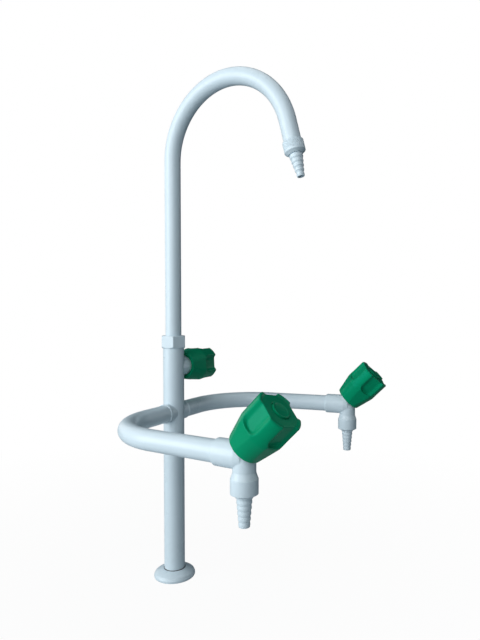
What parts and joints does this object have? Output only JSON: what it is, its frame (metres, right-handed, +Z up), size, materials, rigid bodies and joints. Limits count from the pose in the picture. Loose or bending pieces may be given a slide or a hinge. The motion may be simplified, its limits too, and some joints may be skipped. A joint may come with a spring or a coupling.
{
  "type": "laboratory gooseneck tap",
  "caption": "Bench-mounted laboratory tap with a swivelling gooseneck spout, side outlets on bent arms, ribbed hose nozzles and fluted quarter-turn knobs.",
  "frame": {"origin": "centre of the foot, on the column axis in the plane of the bench top", "axes": "+Z up along the column, -Y forward towards the side outlets, +X to the right as seen from the front"},
  "size_m": [0.3405, 0.2529, 0.599],
  "materials": {
    "white_coat": "smooth pale bluish-white epoxy powder coat on brass, semi-gloss",
    "green_plastic": "moulded green polypropylene, semi-gloss",
    "bare_brass": "machined brass",
    "black_rubber": "moulded black rubber",
    "disc_ceramic": "lapped white alumina",
    "plain_steel": "plain stainless steel",
    "white_ptfe": "plain white PTFE sheet"
  },
  "bodies": {
    "stand": {"base_flange": "white_coat", "base_gasket": "black_rubber", "inlet_bush": "bare_brass", "column_tube": "white_coat", "column_valve_block": "white_coat", "left_arm_stub": "white_coat", "right_arm_stub": "white_coat", "left_arm_tube": "white_coat", "right_arm_tube": "white_coat", "swivel_socket": "bare_brass", "swivel_washer": "white_ptfe", "swivel_nut": "white_coat", "left_valve_body": "white_coat", "left_cartridge": "bare_brass", "left_seat_seal": "black_rubber", "left_fixed_disc": "disc_ceramic", "left_nozzle_washer": "black_rubber", "left_nozzle_nut": "white_coat", "left_hose_nozzle": "white_coat", "right_valve_body": "white_coat", "right_cartridge": "bare_brass", "right_seat_seal": "black_rubber", "right_fixed_disc": "disc_ceramic", "right_nozzle_washer": "black_rubber", "right_nozzle_nut": "white_coat", "right_hose_nozzle": "white_coat", "centre_cartridge": "bare_brass", "centre_seat_seal": "black_rubber", "centre_fixed_disc": "disc_ceramic"},
    "gooseneck": {"gooseneck_tube": "white_coat", "swivel_spigot": "bare_brass", "swivel_o_rings": "black_rubber", "spout_ferrule": "bare_brass", "spout_washer": "black_rubber", "spout_nut": "white_coat", "spout_nozzle": "white_coat"},
    "left_control": {"left_spindle": "bare_brass", "left_moving_disc": "disc_ceramic", "left_spindle_o_ring": "black_rubber", "left_spindle_clip": "plain_steel", "left_knob": "green_plastic", "left_knob_screw": "plain_steel", "left_index_cap": "green_plastic"},
    "right_control": {"right_spindle": "bare_brass", "right_moving_disc": "disc_ceramic", "right_spindle_o_ring": "black_rubber", "right_spindle_clip": "plain_steel", "right_knob": "green_plastic", "right_knob_screw": "plain_steel", "right_index_cap": "green_plastic"},
    "centre_control": {"centre_spindle": "bare_brass", "centre_moving_disc": "disc_ceramic", "centre_spindle_o_ring": "black_rubber", "centre_spindle_clip": "plain_steel", "centre_knob": "green_plastic", "centre_knob_screw": "plain_steel", "centre_index_cap": "green_plastic"}
  },
  "joints": [
    {"name": "gooseneck_swivel", "type": "hinge", "parent": "stand", "child": "gooseneck", "pos_m": [0, 0, 0.287], "axis": [0, 0, 1], "continuous": true},
    {"name": "left_knob_turn", "type": "hinge", "parent": "stand", "child": "left_control", "pos_m": [-0.14414, -0.1737, 0.20882], "axis": [-0.0776, -0.7028, 0.7071], "range_deg": [0, 90]},
    {"name": "right_knob_turn", "type": "hinge", "parent": "stand", "child": "right_control", "pos_m": [0.14414, -0.1737, 0.20882], "axis": [0.0776, -0.7028, 0.7071], "range_deg": [0, 90]},
    {"name": "centre_knob_turn", "type": "hinge", "parent": "stand", "child": "centre_control", "pos_m": [0.0115, 0, 0.261], "axis": [1, 0, 0], "range_deg": [0, 90]}
  ]
}
